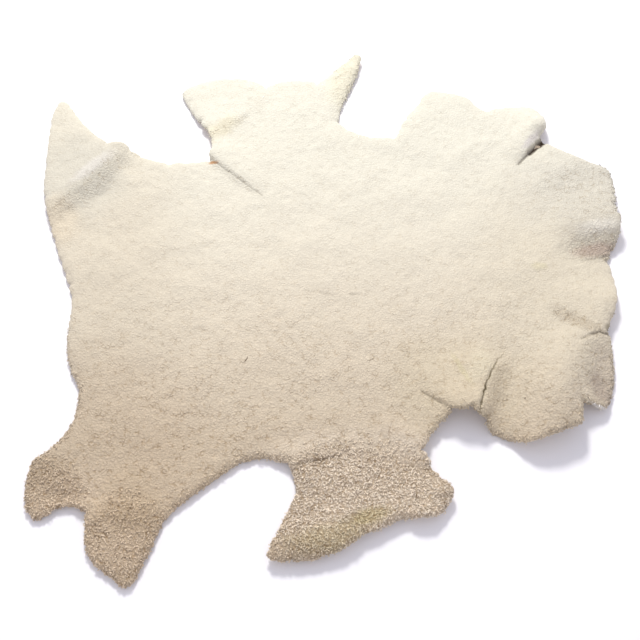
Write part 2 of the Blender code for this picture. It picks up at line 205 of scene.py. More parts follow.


# Stains follow the photo. Each is a soft oval spot of a colour, on top of the wool's own.
# Not every row is a stain: the rows named painted shade, painted light or painted highlight paint light and
# shade into the colour.
STAINS_AND_PAINTED_SHADING = (
    ColourSpot("dust on the left flank", -470, 40, 260, 520, 0, "#CFC4AE", 0.55),
    ColourSpot("dusty haunch", -400, -330, 240, 230, 0, "#C9B498", 0.45),
    ColourSpot("dust at the right edge", 500, -20, 300, 330, 0, "#D4CAB3", 0.6),
    ColourSpot("dust on the upper right lobe", 500, 190, 180, 130, 0, "#CFCBBE", 0.45),
    ColourSpot("dust round the slit", 215, -200, 140, 120, 0, "#D2C5A8", 0.45),
    ColourSpot("grey flap", 60, -410, 230, 130, 0, "#FBEEDA", 0.8),
    ColourSpot("dull foreleg", -470, 240, 110, 130, 0, "#C9C5B6", 0.6),
    ColourSpot("lanolin yellow on the flap", 4, -466, 76, 30, 14, "#CDBE92", 0.5),
    ColourSpot("yellow at the flap's ledge", 66, -434, 40, 17, 14, "#CBBB7E", 0.5),
    ColourSpot("yellow ear strip", 45, 470, 55, 110, 0, "#F0E8C6", 0.35),
    ColourSpot("brown corner at the notch", -215, 264, 11, 5, 0, "#B4793C", 0.8),
    ColourSpot("yellow above the notch", -205, 345, 60, 26, 38, "#EADFBA", 0.4),
    ColourSpot("bleached feet", -385, -465, 190, 130, 0, "#E6D3B9", 0.7),
    ColourSpot("ochre knee", -320, -410, 80, 70, 0, "#BFA985", 0.3),
    ColourSpot("ochre on the shank", -500, 130, 60, 60, 0, "#DFCDAE", 0.35),
    # Painted light: lightens the top of the first trough's shaded face.
    ColourSpot("painted light on the brow of the first trough", 494, 106, 46, 17, 8, "#EDE8DA", 0.5),
    # Partly brownish wool, partly painted shade on the face of the first trough that is turned from the
    # light.
    ColourSpot("brown wool and painted shade at the foot of the first trough", 484, 66, 50, 16, 8, "#B69B8D", 0.5),
    ColourSpot("brown second trough", 436, -86, 56, 15, -36, "#BEAE94", 0.35),
    # Painted shade: the dark of the deep notch by the lower lobe.
    ColourSpot("painted shade in the notch", 488, -98, 12, 8, 0, "#7A6F52", 0.6),
    # Painted shade on the lower lobe's face that is turned from the light, darkest at its foot.
    ColourSpot("painted shade on the lower lobe", 470, -190, 34, 64, 0, "#C4B2A3", 0.2),
    ColourSpot("darker painted shade at the foot of the lower lobe", 462, -215, 30, 34, 0, "#A39285", 0.4),
    ColourSpot("pale cut edge of the lower lobe", 447, -247, 22, 3.5, -6, "#F8F5EF", 0.8),
    # Painted highlight on the raised lip left of the slit.
    ColourSpot("painted highlight beside the slit", 258, -172, 26, 48, -25, "#E4DDC0", 0.25),
    ColourSpot("olive line before the slit", 226, -180, 6, 46, 22, "#CFC596", 0.3),
    ColourSpot("yellow spot on the right side", 380, 32, 18, 10, 0, "#D6CDA0", 0.3),
    # Painted shade: the lavender grey of the rolled edge at the pleat.
    ColourSpot("painted shade on the rolled edge by the pleat", 392, 314, 32, 8, 48, "#D9D2D0", 0.5),
    # Painted light: the pale lavender side of the step in the foreleg's pile.
    ColourSpot("painted light on the step of the foreleg", -442, 248, 62, 16, 45, "#E6E2DC", 0.35),
    ColourSpot("straw mark on the back", -139, -156, 9, 1.7, 58, "#54412F", 0.8),
    ColourSpot("mark on the back", 74, -157, 7, 1.8, 20, "#857460", 0.6),
    ColourSpot("mark on the lobe", 327, -233, 2.6, 2.6, 0, "#5F4F3C", 0.7),
    # The slit rows are painted shade: the thin olive line where the wool parts along the crest.
    ColourSpot("slit", 247, -266, 1.8, 14, -17, "#85775A", 0.5),
    ColourSpot("slit", 252.5, -247, 2.0, 13, -16, "#756A4A", 0.8),
    ColourSpot("slit", 260, -222, 2.2, 22, -17, "#6B6040", 0.9),
    ColourSpot("slit", 270.5, -195, 2.0, 17, -27, "#756A48", 0.8),
    ColourSpot("slit", 282, -172, 1.8, 18, -27, "#8A7D5E", 0.65),
    ColourSpot("slit", 296.5, -150, 1.6, 17, -40, "#9A8D72", 0.5),
)


class HideSizes(bpy.types.PropertyGroup):
    """Sizes of the skin and of the bed of wool that the ringlets stand on."""

    sink: bpy.props.FloatProperty(
        name="Sink", description="How far the wool's bed lies below the solid's surface",
        default=0.8 * MM, unit="LENGTH",
    )
    wrap: bpy.props.FloatProperty(
        name="Wrap", description="How far wool covers the underside along the rim",
        default=4.0 * MM, unit="LENGTH",
    )
    mound: bpy.props.FloatProperty(
        name="Mounds", description="Height of the wavy mounds in the wool's bed",
        default=0.7 * MM, unit="LENGTH",
    )
    lock: bpy.props.FloatProperty(
        name="Locks", description="Height of the locks of wool in its bed",
        default=0.7 * MM, unit="LENGTH",
    )


class CurlSizes(bpy.types.PropertyGroup):
    """Sizes of the ringlets and of the clumps that they form."""

    spacing: bpy.props.FloatProperty(
        name="Spacing", description="Least distance between two ringlets in coarse wool",
        default=3.1 * MM, unit="LENGTH",
    )
    sparse: bpy.props.FloatProperty(
        name="Sparse spacing",
        description="Least distance between two ringlets in the finest wool that has any",
        default=5.0 * MM, unit="LENGTH",
    )
    length: bpy.props.FloatProperty(
        name="Length", description="Length of a ringlet's strand, drawn straight",
        default=12.0 * MM, unit="LENGTH",
    )
    thickness: bpy.props.FloatProperty(
        name="Thickness", description="Radius of a ringlet's strand at its thickest",
        default=1.1 * MM, unit="LENGTH",
    )
    root_depth: bpy.props.FloatProperty(
        name="Root depth", description="How deep a ringlet's root stands in the bed",
        default=1.2 * MM, unit="LENGTH",
    )
    clump: bpy.props.FloatProperty(
        name="Clump", description="Least distance between the middles of two clumps",
        default=11.0 * MM, unit="LENGTH",
    )
    lean: bpy.props.FloatProperty(
        name="Lean", description="How far the ringlets lean towards the middle of their clump", default=0.6
    )
    down: bpy.props.FloatProperty(
        name="Down", description="How far loose down between the ringlets evens out their relief",
        default=0.4,
    )
    seed: bpy.props.IntProperty(name="Seed", description="Seed of the ringlets' places", default=7)


class WoolColours(bpy.types.PropertyGroup):
    """Colours of the wool and of the skin."""

    clean: bpy.props.FloatVectorProperty(
        name="Clean wool", description="Tips of the cleanest wool, at the neck side",
        subtype="COLOR", size=3, default=linear("#DEDAC9"), min=0.0, max=1.0,
    )
    # The darker end of the wool's gradient: partly worn wool, partly a painted falloff of the light.
    weathered_and_shaded: bpy.props.FloatVectorProperty(
        name="Weathered wool", description="Tips of the wool towards the hind legs",
        subtype="COLOR", size=3, default=linear("#D6C4A9"), min=0.0, max=1.0,
    )
    # The roots' colour is also the dark end of the painted shade in the bed's gaps, clefts and creases.
    root: bpy.props.FloatVectorProperty(
        name="Wool roots", description="Greasy roots of the wool, seen between its locks",
        subtype="COLOR", size=3, default=linear("#B8A488"), min=0.0, max=1.0,
    )
    skin: bpy.props.FloatVectorProperty(
        name="Skin", description="Tanned skin side", subtype="COLOR", size=3,
        default=linear("#E4D3B8"), min=0.0, max=1.0,
    )


class StageSizes(bpy.types.PropertyGroup):
    """Floor, light and camera."""

    key: bpy.props.FloatProperty(
        name="Key light", description="Power of the soft light behind the hide", default=84.0, unit="POWER"
    )
    fill: bpy.props.FloatProperty(
        name="Fill", description="Strength of the light from all around", default=0.78
    )
    floor: bpy.props.FloatVectorProperty(
        name="Floor", description="Colour of the floor", subtype="COLOR", size=3,
        default=linear("#F7F6F6"), min=0.0, max=1.0,
    )


GROUPS = {
    "sheepskin_hide": HideSizes,
    "sheepskin_curls": CurlSizes,
    "sheepskin_colours": WoolColours,
    "sheepskin_stage": StageSizes,
}


def add_node(tree, kind, inputs=None, **settings):
    """A node of this kind with its settings made and its inputs set to values or linked to sockets."""
    node = tree.nodes.new(kind)
    for name, value in settings.items():
        setattr(node, name, value)
    for name, value in (inputs or {}).items():
        if isinstance(value, bpy.types.NodeSocket):
            tree.links.new(value, node.inputs[name])
        else:
            node.inputs[name].default_value = value
    return node


def mixed(tree, amount, base, top, blend="MIX"):
    """The colour base with top laid over it by this amount."""
    node = add_node(tree, "ShaderNodeMix", data_type="RGBA", blend_type=blend)
    for socket, value in zip((node.inputs[0], node.inputs[6], node.inputs[7]), (amount, base, top)):
        if isinstance(value, bpy.types.NodeSocket):
            tree.links.new(value, socket)
        else:
            socket.default_value = value
    return node.outputs[2]


def graded(tree, value, low, high, to_low, to_high):
    """A value brought smoothly from one range to another and held at its ends."""
    node = add_node(
        tree, "ShaderNodeMapRange",
        {"Value": value, "From Min": low, "From Max": high, "To Min": to_low, "To Max": to_high},
        interpolation_type="SMOOTHSTEP",
    )
    return node.outputs["Result"]


def times(tree, first, second):
    """The product of two values."""
    return add_node(tree, "ShaderNodeMath", {0: first, 1: second}, operation="MULTIPLY").outputs[0]


def to_metres(x, y):
    """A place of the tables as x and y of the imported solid, in metres."""
    return (
        (x - DRAWING_SHIFT[0]) / DRAWING_SCALE[0] * MM,
        (y - DRAWING_SHIFT[1]) / DRAWING_SCALE[1] * MM,
    )


def oval(tree, place, row):
    """From 1 in the middle of a soft oval spot to 0 at its rim, with an uneven rim."""
    x, y = to_metres(row.x, row.y)
    local = add_node(
        tree, "ShaderNodeMapping",
        {
            "Vector": place,
            "Location": (x, y, 0.0),
            "Rotation": (0.0, 0.0, math.radians(row.turn)),
            "Scale": (row.wide * MM, row.deep * MM, 1.0),
        },
        vector_type="TEXTURE",
    )
    away = add_node(tree, "ShaderNodeVectorMath", {0: local.outputs[0]}, operation="LENGTH")
    return graded(tree, away.outputs["Value"], 0.35, 1.15, 1.0, 0.0)


def whorls(tree, spot):
    """Curled locks of wool: their rounded nubs, from 0 to 1, the spiral drawn on each, and a value
    of its own for each lock.

    Every lock winds its own way, left or right, from its own start, and has its own height.
    """
    drift = add_node(tree, "ShaderNodeTexNoise", {"Vector": spot, "Scale": LOCK_BEND_SCALE, "Detail": 1.0})
    wobbled = add_node(
        tree, "ShaderNodeVectorMath",
        {0: drift.outputs["Color"], 1: (5.0 * MM, 5.0 * MM, 0.0), 2: spot}, operation="MULTIPLY_ADD",
    ).outputs[0]
    cells = add_node(
        tree, "ShaderNodeTexVoronoi", {"Vector": wobbled, "Scale": 1.0 / LOCK_PITCH}, voronoi_dimensions="2D"
    )
    away = add_node(
        tree, "ShaderNodeVectorMath", {0: wobbled, 1: cells.outputs["Position"]}, operation="SUBTRACT"
    ).outputs[0]
    flat = add_node(tree, "ShaderNodeSeparateXYZ", {0: away})
    own = add_node(tree, "ShaderNodeSeparateColor", {0: cells.outputs["Color"]})
    angle = add_node(
        tree, "ShaderNodeMath", {0: flat.outputs["Y"], 1: flat.outputs["X"]}, operation="ARCTAN2"
    ).outputs[0]
    side = add_node(tree, "ShaderNodeMath", {0: own.outputs[1], 1: 0.5}, operation="GREATER_THAN")
    hand = add_node(
        tree, "ShaderNodeMath", {0: side.outputs[0], 1: 2.0, 2: -1.0}, operation="MULTIPLY_ADD"
    ).outputs[0]
    strands = 2.0 * math.pi * LOCK_PITCH / STRAND_PITCH
    turns = add_node(
        tree, "ShaderNodeMath",
        {0: cells.outputs["Distance"], 1: strands, 2: times(tree, angle, hand)},
        operation="MULTIPLY_ADD",
    ).outputs[0]
    start = add_node(
        tree, "ShaderNodeMath", {0: own.outputs[0], 1: 2.0 * math.pi, 2: turns}, operation="MULTIPLY_ADD"
    ).outputs[0]
    wave = add_node(tree, "ShaderNodeMath", {0: start}, operation="SINE").outputs[0]
    nub = graded(tree, cells.outputs["Distance"], 0.0, 0.75, 1.0, 0.0)
    return nub, wave, own.outputs[2]


def clefts(tree, spot):
    """Thin winding lines between clumps of locks: 1 in a line and 0 beside it."""
    drift = add_node(
        tree, "ShaderNodeTexNoise", {"Vector": spot, "Scale": CLEFT_BEND_SCALE, "Detail": 2.0}
    )
    bent = add_node(
        tree, "ShaderNodeVectorMath",
        {0: drift.outputs["Color"], 1: (9.0 * MM, 9.0 * MM, 0.0), 2: spot}, operation="MULTIPLY_ADD",
    ).outputs[0]
    cells = add_node(
        tree, "ShaderNodeTexVoronoi", {"Vector": bent, "Scale": 1.0 / CLUMP_PITCH},
        voronoi_dimensions="2D", feature="DISTANCE_TO_EDGE",
    )
    return graded(tree, cells.outputs["Distance"], 0.0, 0.2, 1.0, 0.0)


def wool_material(colours):
    """Short crimped lambswool: a matt, slightly translucent keratin fibre with a soft sheen.

    The eye sees cream tips, greasier yellow roots between them and darker wool towards the hind legs.
    That darkening is partly soiled wool and partly painted shade, as is the darkening between the locks, and
    the tips are painted lighter.
    """
    material = bpy.data.materials.new("crimped_lambswool")
    material.use_nodes = True
    tree = material.node_tree
    shader = tree.nodes["Principled BSDF"]
    spot = add_node(tree, "ShaderNodeTexCoord").outputs["Object"]
    # Cloudiness breaks up the rims of the stains, as grease and dust do in a fleece.
    cloud = add_node(tree, "ShaderNodeTexNoise", {"Vector": spot, "Scale": CLOUD_SCALE, "Detail": 3.0})
    shift = add_node(
        tree, "ShaderNodeVectorMath",
        {0: cloud.outputs["Color"], 1: (-0.5, -0.5, -0.5)}, operation="ADD",
    )
    blurred = add_node(
        tree, "ShaderNodeVectorMath",
        {0: shift.outputs[0], 1: (CLOUD_PUSH, CLOUD_PUSH, 0.0), 2: spot}, operation="MULTIPLY_ADD",
    ).outputs[0]
    # Narrow lines and spots wander by a millimetre, as wool pushed aside does.
    wander = add_node(tree, "ShaderNodeTexNoise", {"Vector": spot, "Scale": LINE_SCALE, "Detail": 1.0})
    ragged = add_node(
        tree, "ShaderNodeVectorMath",
        {0: wander.outputs["Color"], 1: (LINE_PUSH, LINE_PUSH, 0.0), 2: spot}, operation="MULTIPLY_ADD",
    )
    ragged = add_node(
        tree, "ShaderNodeVectorMath",
        {0: ragged.outputs[0], 1: (-0.5 * LINE_PUSH, -0.5 * LINE_PUSH, 0.0)}, operation="ADD",
    ).outputs[0]
    axes = add_node(tree, "ShaderNodeSeparateXYZ", {0: blurred})
    # Cleanest at the neck and the back edge, darker and yellower towards the hind legs and the flap:
    # partly worn and yellowed wool, partly a painted falloff of the light towards the front.
    weathering_and_falloff = graded(tree, axes.outputs["Y"], 0.40, -0.50, 0.0, 1.0)
    colour = mixed(tree, weathering_and_falloff, (*colours.clean, 1.0), (*colours.weathered_and_shaded, 1.0))
    # The stains, and the painted shade and painted light of the table, are laid over the wool's colour.
    for row in STAINS_AND_PAINTED_SHADING:
        place = blurred if min(row.wide, row.deep) > SHARP_SPOT else ragged
        amount = times(tree, oval(tree, place, row), row.amount)
        colour = mixed(tree, amount, colour, (*linear(row.colour), 1.0))
    # Each ringlet has its own shade, and each clump a wider one.
    tone = add_node(tree, "ShaderNodeAttribute", attribute_name="tone").outputs["Fac"]
    coarse = add_node(tree, "ShaderNodeAttribute", attribute_name="coarse").outputs["Fac"]
    darkest = graded(tree, coarse, 0.0, 1.0, 0.975, 0.85)
    shade = graded(tree, tone, 0.0, 1.0, darkest, 1.02)
    lit = add_node(tree, "ShaderNodeCombineColor", {0: shade, 1: shade, 2: times(tree, shade, 0.99)})
    colour = mixed(tree, 1.0, colour, lit.outputs[0], "MULTIPLY")
    # Roots are greasier and darker than tips, most of all where the wool is coarse.
    # This is partly painted shade: the bed down between the ringlets takes the most of it.
    along = add_node(tree, "ShaderNodeAttribute", attribute_name="along").outputs["Fac"]
    depth = graded(tree, along, 0.0, 0.55, 1.0, 0.0)
    strength = graded(tree, coarse, 0.4, 1.0, 0.0, 0.5)
    root_and_shade = mixed(tree, 1.0, colour, (*colours.root, 1.0), "MULTIPLY")
    # The tips are painted up to 1.3 times lighter: painted light that evens out the shade the ringlets cast
    # on themselves.
    tip_light = graded(tree, along, 0.1, 0.5, 1.0, 1.3)
    pale = add_node(tree, "ShaderNodeCombineColor", {0: tip_light, 1: tip_light, 2: tip_light})
    colour = mixed(tree, 1.0, colour, pale.outputs[0], "MULTIPLY")
    colour = mixed(tree, times(tree, depth, strength), colour, root_and_shade)
    # Locks of the bed part in some places more than in others, and each has its own shade.
    # The clefts between clumps and the creases between the locks' nubs are painted towards the root colour:
    # painted shade, stronger in coarse wool.
    nub, whorl, own = whorls(tree, spot)
    patch = add_node(tree, "ShaderNodeTexNoise", {"Vector": spot, "Scale": PATCH_SCALE, "Detail": 3.0})
    uneven = graded(tree, patch.outputs["Fac"], 0.48, 0.66, 0.0, 1.0)
    cleft = times(tree, clefts(tree, spot), uneven)
    shadow = times(tree, cleft, graded(tree, coarse, 0.0, 0.9, 0.05, 0.65))
    colour = mixed(tree, shadow, colour, root_and_shade)
    parted = graded(tree, uneven, 0.0, 1.0, 0.3, 1.0)
    parted = times(tree, parted, graded(tree, coarse, 0.0, 1.0, 0.12, 0.45))
    parted = times(tree, parted, graded(tree, along, 0.0, 0.1, 1.0, 0.0))
    crease = times(tree, graded(tree, nub, 0.15, 0.6, 1.0, 0.0), parted)
    colour = mixed(tree, crease, colour, root_and_shade)
    paler = graded(tree, own, 0.0, 1.0, graded(tree, coarse, 0.0, 0.6, 0.975, 0.92), 1.02)
    paler = add_node(tree, "ShaderNodeCombineColor", {0: paler, 1: paler, 2: paler})
    colour = mixed(tree, 1.0, colour, paler.outputs[0], "MULTIPLY")
    # No light reaches the felted wool at the bottom of a parting.
    gap = add_node(tree, "ShaderNodeAttribute", attribute_name="gap").outputs["Fac"]
    colour = mixed(tree, gap, colour, (*linear("#46382A"), 1.0))
    tree.links.new(colour, shader.inputs["Base Color"])
    shader.inputs["Roughness"].default_value = 1.0
    shader.inputs["Specular IOR Level"].default_value = 0.1
    shader.inputs["IOR"].default_value = 1.55
    shader.inputs["Sheen Weight"].default_value = 0.12
    shader.inputs["Sheen Roughness"].default_value = 0.5
    # The crimp of single fibres, 1.2 mm long and less, lies over the curled locks.
    crimp = add_node(
        tree, "ShaderNodeTexNoise", {"Vector": spot, "Scale": CRIMP_SCALE, "Detail": 3.0, "Roughness": 0.65}
    )
    nub = times(tree, nub, graded(tree, own, 0.0, 1.0, 0.6, 1.2))
    locks = add_node(
        tree, "ShaderNodeMath", {0: whorl, 1: WHORL_SHARE, 2: nub}, operation="MULTIPLY_ADD"
    ).outputs[0]
    locks = add_node(
        tree, "ShaderNodeMath", {0: cleft, 1: -CLEFT_SHARE, 2: locks}, operation="MULTIPLY_ADD"
    ).outputs[0]
    locks = times(tree, locks, graded(tree, coarse, 0.0, 0.7, 0.6, 1.5))
    relief = add_node(
        tree, "ShaderNodeMath", {0: crimp.outputs["Fac"], 1: CRIMP_SHARE, 2: locks},
        operation="MULTIPLY_ADD",
    )
    bump = add_node(
        tree, "ShaderNodeBump", {"Height": relief.outputs[0], "Strength": 1.0, "Distance": WOOL_RELIEF}
    )
    tree.links.new(bump.outputs[0], shader.inputs["Normal"])
    return material


def skin_material(colours):
    """Tanned sheep leather, flesh side out: a pale suede nap, chalky and without gloss."""
    material = bpy.data.materials.new("tanned_suede_skin")
    material.use_nodes = True
    tree = material.node_tree
    shader = tree.nodes["Principled BSDF"]
    spot = add_node(tree, "ShaderNodeTexCoord").outputs["Object"]
    # Grease and tanning marks first, then the nap over them.
    marks = add_node(tree, "ShaderNodeTexNoise", {"Vector": spot, "Scale": MARK_SCALE, "Detail": 5.0})
    amount = graded(tree, marks.outputs["Fac"], 0.35, 0.7, 0.0, 0.7)
    colour = mixed(tree, amount, (*colours.skin, 1.0), (*linear("#C9AF88"), 1.0))
    nap = add_node(
        tree, "ShaderNodeTexNoise", {"Vector": spot, "Scale": NAP_SCALE, "Detail": 4.0, "Roughness": 0.7}
    )
    fleck = graded(tree, nap.outputs["Fac"], 0.4, 0.75, 0.0, 0.3)
    colour = mixed(tree, fleck, colour, (*linear("#F3EBDB"), 1.0))
    tree.links.new(colour, shader.inputs["Base Color"])
    shader.inputs["Roughness"].default_value = 0.95
    shader.inputs["Specular IOR Level"].default_value = 0.2
    shader.inputs["Sheen Weight"].default_value = 0.1
    wrinkle = add_node(tree, "ShaderNodeTexNoise", {"Vector": spot, "Scale": WRINKLE_SCALE, "Detail": 6.0})
    relief = add_node(
        tree, "ShaderNodeMath", {0: wrinkle.outputs["Fac"], 1: nap.outputs["Fac"]}, operation="ADD"
    )
    bump = add_node(
        tree, "ShaderNodeBump", {"Height": relief.outputs[0], "Strength": 0.5, "Distance": SKIN_RELIEF}
    )
    tree.links.new(bump.outputs[0], shader.inputs["Normal"])
    return material


def floor_material(colour):
    """Matt painted studio floor: pale and even, with a trace of roller texture."""
    material = bpy.data.materials.new("matt_painted_floor")
    material.use_nodes = True
    tree = material.node_tree
    shader = tree.nodes["Principled BSDF"]
    spot = add_node(tree, "ShaderNodeTexCoord").outputs["Object"]
    roller = add_node(tree, "ShaderNodeTexNoise", {"Vector": spot, "Scale": ROLLER_SCALE, "Detail": 2.0})
    bump = add_node(
        tree, "ShaderNodeBump",
        {"Height": roller.outputs["Fac"], "Strength": 0.05, "Distance": FLOOR_RELIEF},
    )
    tree.links.new(bump.outputs[0], shader.inputs["Normal"])
    shader.inputs["Base Color"].default_value = (*colour, 1.0)
    shader.inputs["Roughness"].default_value = 0.9
    return material


def to_drawing(places):
    """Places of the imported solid, in metres, as x and y in the tables' millimetres."""
    return places[:, :2] / MM * np.array(DRAWING_SCALE) + np.array(DRAWING_SHIFT)


def from_line(points, row):
    """How far along a parting each point lies, from 0 to 1, and how far away from it."""
    start = np.array((row.x0, row.y0), dtype=float)
    span = np.array((row.x1 - row.x0, row.y1 - row.y0), dtype=float)
    along = np.clip(((points - start) @ span) / (span @ span), 0.0, 1.0)
    gap = points - (start + along[:, None] * span)
    return along, np.hypot(gap[:, 0], gap[:, 1])


def coarseness(points):
    """How coarse the wool is at each point, from 0 to 1."""
    most = WORN_COARSENESS * np.clip((WORN_FROM - points[:, 1]) / WORN_SPAN, 0.0, 1.0)
    for row in COARSE_PATCHES:
        turn = math.radians(row.turn)
        away = points - (row.x, row.y)
        across = away[:, 0] * math.cos(turn) + away[:, 1] * math.sin(turn)
        deep = -away[:, 0] * math.sin(turn) + away[:, 1] * math.cos(turn)
        far = np.hypot(across / row.wide, deep / row.deep)
        most = np.maximum(most, row.amount * np.clip((1.3 - far) / 0.7, 0.0, 1.0))
    return most


def trench(points):
    """How much deeper the bed of the wool lies at each point, in millimetres."""
    depth = np.zeros(len(points))
    for row in PARTINGS:
        _, away = from_line(points, row)
        reach = row.bare + PARTING_SLOPE
        depth = np.maximum(depth, row.depth * np.clip(1.0 - away / reach, 0.0, 1.0) ** 0.7)
    return depth


def gap_shade(points):
    """From 1 in the middle of a parting to 0 beside it."""
    shade = np.zeros(len(points))
    for row in PARTINGS:
        _, away = from_line(points, row)
        darkness = np.clip(1.6 - away / (row.bare + 0.8), 0.0, 1.0)
        shade = np.maximum(shade, np.clip(row.depth / DARK_DEPTH, 0.0, 1.0) * darkness)
    return shade


def bare(points):
    """True where a parting leaves no room for a curl."""
    none = np.zeros(len(points), dtype=bool)
    for row in PARTINGS:
        _, away = from_line(points, row)
        none |= away < row.bare
    return none


def rim_share(places):
    """From 1 at the hide's rim to 0 at RIM_BAND from it, for places in metres."""
    line = outline_tree()
    away = np.array([line.find((x, y, 0.0))[2] for x, y, _ in places])
    return np.clip(1.0 - away / RIM_BAND, 0.0, 1.0)


def outline_tree():
    """The corners of the fleece that touch both wool and skin, or lie where its wool turns under."""
    mesh = bpy.data.objects["fleece"].data
    under = np.zeros(len(mesh.vertices), dtype=bool)
    over = np.zeros(len(mesh.vertices), dtype=bool)
    for face in mesh.polygons:
        (over if face.normal.z > STEEPEST_WOOL else under)[list(face.vertices)] = True
    rim = np.flatnonzero(under & over)
    tree = KDTree(len(rim))
    for index in rim.tolist():
        spot = mesh.vertices[index].co
        tree.insert((spot.x, spot.y, 0.0), index)
    tree.balance()
    return tree


def add_values(mesh, name, values):
    """Stores one number for each vertex under this name."""
    made = mesh.attributes.new(name, "FLOAT", "POINT")
    made.data.foreach_set("value", np.ascontiguousarray(values, dtype=np.float32))


def wool_side(items):
    """Those of a mesh's edges or corners that touch a face that looks up, in the mesh's own order.

    A set of them has another order in each run, and the fleece would change with it.
    """
    return [item for item in items if any(face.normal.z > STEEPEST_WOOL for face in item.link_faces)]


def skin_side(shape):
    """The faces that look down and join the widest of them, which lies under the hide."""
    under = [face for face in shape.faces if face.normal.z <= STEEPEST_WOOL]
    rest = [max(under, key=lambda face: face.calc_area())]
    under, reached = set(under), set(rest)
    while rest:
        for edge in rest.pop().edges:
            for face in edge.link_faces:
                if face in under and face not in reached:
                    reached.add(face)
                    rest.append(face)
    return reached


def smoothed_copy():
    """A merged copy of the solid's mesh, finer on its wool side, with its facets rounded off."""
    shape = bmesh.new()
    shape.from_mesh(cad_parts[NODE].data)
    bmesh.ops.remove_doubles(shape, verts=shape.verts[:], dist=0.01 * MM)
    for cuts, longest, rounds in ((2, 0.0, 4), (1, LONGEST_EDGE, 3)):
        edges = [edge for edge in wool_side(shape.edges) if edge.calc_length() > longest]
        bmesh.ops.subdivide_edges(shape, edges=edges, cuts=cuts, use_grid_fill=True)
        bmesh.ops.triangulate(shape, faces=[face for face in shape.faces if len(face.verts) > 4])
        verts = wool_side(shape.verts)
        for _ in range(rounds):
            bmesh.ops.smooth_vert(
                shape, verts=verts, factor=0.5, use_axis_x=True, use_axis_y=True, use_axis_z=True
            )
    shape.normal_update()
    return shape


def mound_height(place):
    """Height of the wool's wavy mounds at a place: ridges 22 mm apart, from about -1 to 1."""
    wander = noise.noise_vector(place / (30.0 * MM)) * (9.0 * MM)
    ridge = 1.0 - 2.2 * abs(noise.noise((place + wander) / (22.0 * MM)))
    return 1.2 * ridge + 0.4 * noise.noise(place / (14.0 * MM))


def lock_height(place):
    """Height of the locks of wool at a place: winding ridges 7 mm apart, from about 0 to 1."""
    wander = noise.noise_vector(place / (11.0 * MM)) * (6.0 * MM)
    return 1.0 - 2.4 * abs(noise.noise((place + wander) / (12.0 * MM)))


def lay_bed(shape, sizes):
    """Sinks the wool side and raises its mounds and locks, and gives the skin side its material."""
    skin = skin_side(shape)
    for face in shape.faces:
        face.smooth = True
        face.material_index = 1 if face in skin else 0
    rim = [
        vert for vert in shape.verts
        if len({face.material_index for face in vert.link_faces}) == 2
    ]
    edge = KDTree(len(rim))
    for index, vert in enumerate(rim):
        edge.insert((vert.co.x, vert.co.y, 0.0), index)
    edge.balance()
    wool = [vert for vert in shape.verts if any(face.material_index == 0 for face in vert.link_faces)]
    places = np.array([vert.co for vert in wool])
    normals = np.array([vert.normal for vert in wool])
    drawn = to_drawing(places)
    deeper = trench(drawn) * MM
    noise.seed_set(RELIEF_SEED)
    mounds = np.array([mound_height(Vector(place)) for place in places]) * sizes.mound
    locks = np.array([lock_height(Vector(place)) for place in places]) * sizes.lock
    locks *= 0.45 + 0.55 * coarseness(drawn)
    inner = np.array([all(face.material_index == 0 for face in vert.link_faces) for vert in wool])
    drop = sizes.sink + (deeper - mounds - locks) * inner
    for vert, place in zip(wool, places - normals * drop[:, None]):
        vert.co = place
    for vert in wool:
        vert.co.z = max(vert.co.z, BED_FLOOR)
    # The wool hangs round the rim and hides the cut of the skin.
    for face in shape.faces:
        middle = face.calc_center_median()
        if face.material_index == 1 and edge.find((middle.x, middle.y, 0.0))[2] < sizes.wrap:
            face.material_index = 0


def scatter(surface, spacing, tries, rng, share=None):
    """Points spread over a surface, none nearer to another than spacing, as places and normals.

    The spacing holds one value for each triangle of the surface, and so does share, which says how
    likely a triangle is to get a point.
    """
    corners, corner_normals = surface
    sides = np.cross(corners[:, 1] - corners[:, 0], corners[:, 2] - corners[:, 0])
    areas = np.linalg.norm(sides, axis=1)
    areas = areas if share is None else areas * share
    chosen = np.searchsorted(np.cumsum(areas) / areas.sum(), rng.random(tries))
    first = np.sqrt(rng.random(tries))[:, None]
    second = rng.random(tries)[:, None]
    shares = np.concatenate((1.0 - first, first * (1.0 - second), first * second), axis=1)
    places = np.einsum("ij,ijk->ik", shares, corners[chosen])
    normals = np.einsum("ij,ijk->ik", shares, corner_normals[chosen])
    normals /= np.linalg.norm(normals, axis=1)[:, None]
    reach = spacing[chosen]
    cell = float(spacing.max())
    cells = {}
    kept = []
    for index, (x, y, z) in enumerate(places.tolist()):
        column, row = int(x // cell), int(y // cell)
        least = reach[index] ** 2
        clear = True
        for near in (
            (column, row), (column - 1, row), (column + 1, row), (column, row - 1), (column, row + 1),
            (column - 1, row - 1), (column + 1, row - 1), (column - 1, row + 1), (column + 1, row + 1),
        ):
            for px, py, pz in cells.get(near, ()):
                if (px - x) ** 2 + (py - y) ** 2 + (pz - z) ** 2 < least:
                    clear = False
                    break
            if not clear:
                break
        if clear:
            cells.setdefault((column, row), []).append((x, y, z))
            kept.append(index)
    return places[kept], normals[kept]


Hook = namedtuple("Hook", "name bends swerves swells")

